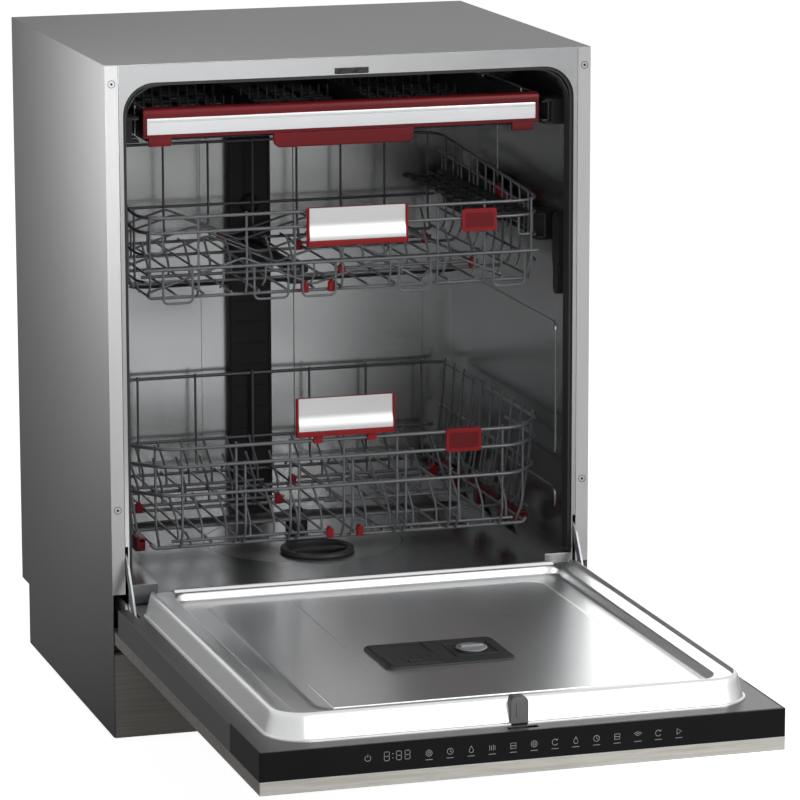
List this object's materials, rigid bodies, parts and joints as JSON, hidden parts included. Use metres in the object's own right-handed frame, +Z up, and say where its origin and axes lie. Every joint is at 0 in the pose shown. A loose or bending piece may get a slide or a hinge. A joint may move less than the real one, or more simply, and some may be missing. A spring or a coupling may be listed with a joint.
{
  "type": "built-in dishwasher",
  "caption": "Built-in dishwasher with a drop-down door, a cutlery tray, a height-adjustable upper wire basket and a wheeled lower wire basket that draw out of a steel tub.",
  "frame": {"origin": "middle of the whole footprint on the floor, with the door open", "axes": "+Z up, the door opens towards -Y, +X to the right when looking at the open machine"},
  "size_m": [0.598, 1.167, 0.815],
  "materials": {
    "satin_steel": "satin",
    "tub_steel": "bright",
    "zinc_steel": "zinc plated",
    "coated_wire": "nylon coated",
    "graphite_plastic": "moulded",
    "black_plastic": "moulded",
    "black_gloss": "polished",
    "red_plastic": "moulded",
    "burgundy": "metallic",
    "aluminium": "brushed",
    "steel_plate": "brushed",
    "decor_wood": "laminate",
    "seal_rubber": "soft",
    "circuit_board": "lacquered"
  },
  "bodies": {
    "cabinet": {"base_tray": "black_plastic", "side_panels": "satin_steel", "top_panel": "satin_steel", "back_panel": "zinc_steel", "tub": "tub_steel", "door_seal": "seal_rubber", "plinth_panel": "decor_wood", "hinge_brackets": "zinc_steel", "strike_plate": "black_plastic", "levelling_feet": "black_plastic", "panel_screws": "zinc_steel", "sump": "black_plastic", "filter_plate": "tub_steel", "pump_set": "black_plastic", "hose_connectors": "black_plastic", "feed_duct": "black_plastic", "rail_brackets": "black_plastic"},
    "door": {"door_panel": "satin_steel", "door_liner": "tub_steel", "decor_panel": "decor_wood", "control_fascia": "black_gloss", "control_board": "circuit_board", "dispenser_housing": "black_plastic", "door_latch": "graphite_plastic", "hinge_arms": "zinc_steel"},
    "dispenser_lid": {"dispenser_lid": "graphite_plastic"},
    "rinse_aid_cap": {"rinse_aid_cap": "graphite_plastic"},
    "cutlery_tray": {"tray_frame": "black_plastic", "tray_bar": "burgundy", "tray_strip": "aluminium"},
    "tray_rails": {"tray_rails": "zinc_steel"},
    "basket_rails": {"basket_rails": "zinc_steel"},
    "basket_carriage": {"basket_carriers": "black_plastic"},
    "upper_basket": {"upper_floor": "coated_wire", "upper_walls": "coated_wire", "upper_handle_plate": "steel_plate", "upper_handle_trim": "red_plastic", "middle_feed_tube": "black_plastic"},
    "adjust_lever_left": {"adjust_lever_left": "red_plastic"},
    "adjust_lever_right": {"adjust_lever_right": "red_plastic"},
    "cup_shelf": {"cup_shelf": "black_plastic"},
    "upper_tines": {"upper_tines": "coated_wire"},
    "middle_spray_arm": {"middle_spray_arm": "graphite_plastic"},
    "lower_basket": {"lower_floor": "coated_wire", "lower_walls": "coated_wire", "lower_handle_plate": "steel_plate", "lower_handle_trim": "red_plastic", "wheel_carriers": "red_plastic"},
    "lower_tines": {"lower_tines": "coated_wire"},
    "filter": {"filter_cylinder": "graphite_plastic"},
    "lower_spray_arm": {"lower_spray_arm": "graphite_plastic"},
    "ceiling_spray_arm": {"ceiling_spray_arm": "graphite_plastic"},
    "wheel_left_1": {"wheel_left_1": "graphite_plastic"},
    "wheel_left_2": {"wheel_left_2": "graphite_plastic"},
    "wheel_left_3": {"wheel_left_3": "graphite_plastic"},
    "wheel_left_4": {"wheel_left_4": "graphite_plastic"},
    "wheel_right_1": {"wheel_right_1": "graphite_plastic"},
    "wheel_right_2": {"wheel_right_2": "graphite_plastic"},
    "wheel_right_3": {"wheel_right_3": "graphite_plastic"},
    "wheel_right_4": {"wheel_right_4": "graphite_plastic"}
  },
  "joints": [
    {"name": "door_hinge", "type": "hinge", "parent": "cabinet", "child": "door", "pos_m": [0, 0.0655, 0.163], "axis": [-1, 0, 0], "range_deg": [0, 90]},
    {"name": "dispenser_lid_slide", "type": "slide", "parent": "door", "child": "dispenser_lid", "axis": [0, 1, 0], "range_m": [0, 0.04]},
    {"name": "rinse_aid_cap_turn", "type": "hinge", "parent": "door", "child": "rinse_aid_cap", "pos_m": [0.024, -0.3155, 0.185], "axis": [0, 0, 1], "range_deg": [0, 90]},
    {"name": "tray_slide", "type": "slide", "parent": "cabinet", "child": "cutlery_tray", "axis": [0, 1, 0], "range_m": [-0.3, 0]},
    {"name": "tray_rails_slide", "type": "slide", "parent": "cabinet", "child": "tray_rails", "axis": [0, 1, 0], "range_m": [-0.15, 0]},
    {"name": "upper_basket_slide", "type": "slide", "parent": "cabinet", "child": "basket_carriage", "axis": [0, 1, 0], "range_m": [-0.34, 0]},
    {"name": "basket_rails_slide", "type": "slide", "parent": "cabinet", "child": "basket_rails", "axis": [0, 1, 0], "range_m": [-0.17, 0]},
    {"name": "upper_basket_lift", "type": "slide", "parent": "basket_carriage", "child": "upper_basket", "axis": [0, 0, 1], "range_m": [0, 0.05]},
    {"name": "adjust_lever_left_press", "type": "hinge", "parent": "upper_basket", "child": "adjust_lever_left", "pos_m": [-0.2541, 0.2855, 0.612], "axis": [-1, 0, 0], "range_deg": [0, 12], "stiffness_Nm_per_rad": 0.5},
    {"name": "adjust_lever_right_press", "type": "hinge", "parent": "upper_basket", "child": "adjust_lever_right", "pos_m": [0.2541, 0.2855, 0.612], "axis": [-1, 0, 0], "range_deg": [0, 12], "stiffness_Nm_per_rad": 0.5},
    {"name": "cup_shelf_fold", "type": "hinge", "parent": "upper_basket", "child": "cup_shelf", "pos_m": [0.2425, 0.3145, 0.606], "axis": [0, 1, 0], "range_deg": [0, 85]},
    {"name": "upper_tines_fold", "type": "hinge", "parent": "upper_basket", "child": "upper_tines", "pos_m": [-0.121, 0.2295, 0.535], "axis": [-1, 0, 0], "range_deg": [0, 85]},
    {"name": "middle_spray_arm_spin", "type": "hinge", "parent": "upper_basket", "child": "middle_spray_arm", "pos_m": [0, 0.3275, 0.506], "axis": [0, 0, 1], "continuous": true},
    {"name": "lower_basket_slide", "type": "slide", "parent": "cabinet", "child": "lower_basket", "axis": [0, 1, 0], "range_m": [-0.55, 0]},
    {"name": "lower_tines_fold", "type": "hinge", "parent": "lower_basket", "child": "lower_tines", "pos_m": [0.122, 0.2845, 0.229], "axis": [-1, 0, 0], "range_deg": [0, 85]},
    {"name": "filter_turn", "type": "hinge", "parent": "cabinet", "child": "filter", "pos_m": [0, 0.2325, 0.15], "axis": [0, 0, 1], "range_deg": [0, 90]},
    {"name": "lower_spray_arm_spin", "type": "hinge", "parent": "cabinet", "child": "lower_spray_arm", "pos_m": [0, 0.3275, 0.203], "axis": [0, 0, 1], "continuous": true},
    {"name": "ceiling_spray_arm_spin", "type": "hinge", "parent": "cabinet", "child": "ceiling_spray_arm", "pos_m": [0, 0.3275, 0.775], "axis": [0, 0, 1], "continuous": true},
    {"name": "wheel_left_1_roll", "type": "hinge", "parent": "lower_basket", "child": "wheel_left_1", "pos_m": [-0.2525, 0.2335, 0.2083], "axis": [-1, 0, 0], "continuous": true},
    {"name": "wheel_left_2_roll", "type": "hinge", "parent": "lower_basket", "child": "wheel_left_2", "pos_m": [-0.2525, 0.3315, 0.2083], "axis": [-1, 0, 0], "continuous": true},
    {"name": "wheel_left_3_roll", "type": "hinge", "parent": "lower_basket", "child": "wheel_left_3", "pos_m": [-0.2525, 0.4295, 0.2083], "axis": [-1, 0, 0], "continuous": true},
    {"name": "wheel_left_4_roll", "type": "hinge", "parent": "lower_basket", "child": "wheel_left_4", "pos_m": [-0.2525, 0.5275, 0.2083], "axis": [-1, 0, 0], "continuous": true},
    {"name": "wheel_right_1_roll", "type": "hinge", "parent": "lower_basket", "child": "wheel_right_1", "pos_m": [0.2525, 0.2335, 0.2083], "axis": [-1, 0, 0], "continuous": true},
    {"name": "wheel_right_2_roll", "type": "hinge", "parent": "lower_basket", "child": "wheel_right_2", "pos_m": [0.2525, 0.3315, 0.2083], "axis": [-1, 0, 0], "continuous": true},
    {"name": "wheel_right_3_roll", "type": "hinge", "parent": "lower_basket", "child": "wheel_right_3", "pos_m": [0.2525, 0.4295, 0.2083], "axis": [-1, 0, 0], "continuous": true},
    {"name": "wheel_right_4_roll", "type": "hinge", "parent": "lower_basket", "child": "wheel_right_4", "pos_m": [0.2525, 0.5275, 0.2083], "axis": [-1, 0, 0], "continuous": true}
  ],
  "couplings": [
    {"joint": "tray_rails_slide", "follows": "tray_slide", "ratio": 0.5},
    {"joint": "basket_rails_slide", "follows": "upper_basket_slide", "ratio": 0.5},
    {"joint": "wheel_left_1_roll", "follows": "lower_basket_slide", "rad_per_m": 66.667},
    {"joint": "wheel_left_2_roll", "follows": "lower_basket_slide", "rad_per_m": 66.667},
    {"joint": "wheel_left_3_roll", "follows": "lower_basket_slide", "rad_per_m": 66.667},
    {"joint": "wheel_left_4_roll", "follows": "lower_basket_slide", "rad_per_m": 66.667},
    {"joint": "wheel_right_1_roll", "follows": "lower_basket_slide", "rad_per_m": 66.667},
    {"joint": "wheel_right_2_roll", "follows": "lower_basket_slide", "rad_per_m": 66.667},
    {"joint": "wheel_right_3_roll", "follows": "lower_basket_slide", "rad_per_m": 66.667},
    {"joint": "wheel_right_4_roll", "follows": "lower_basket_slide", "rad_per_m": 66.667}
  ]
}
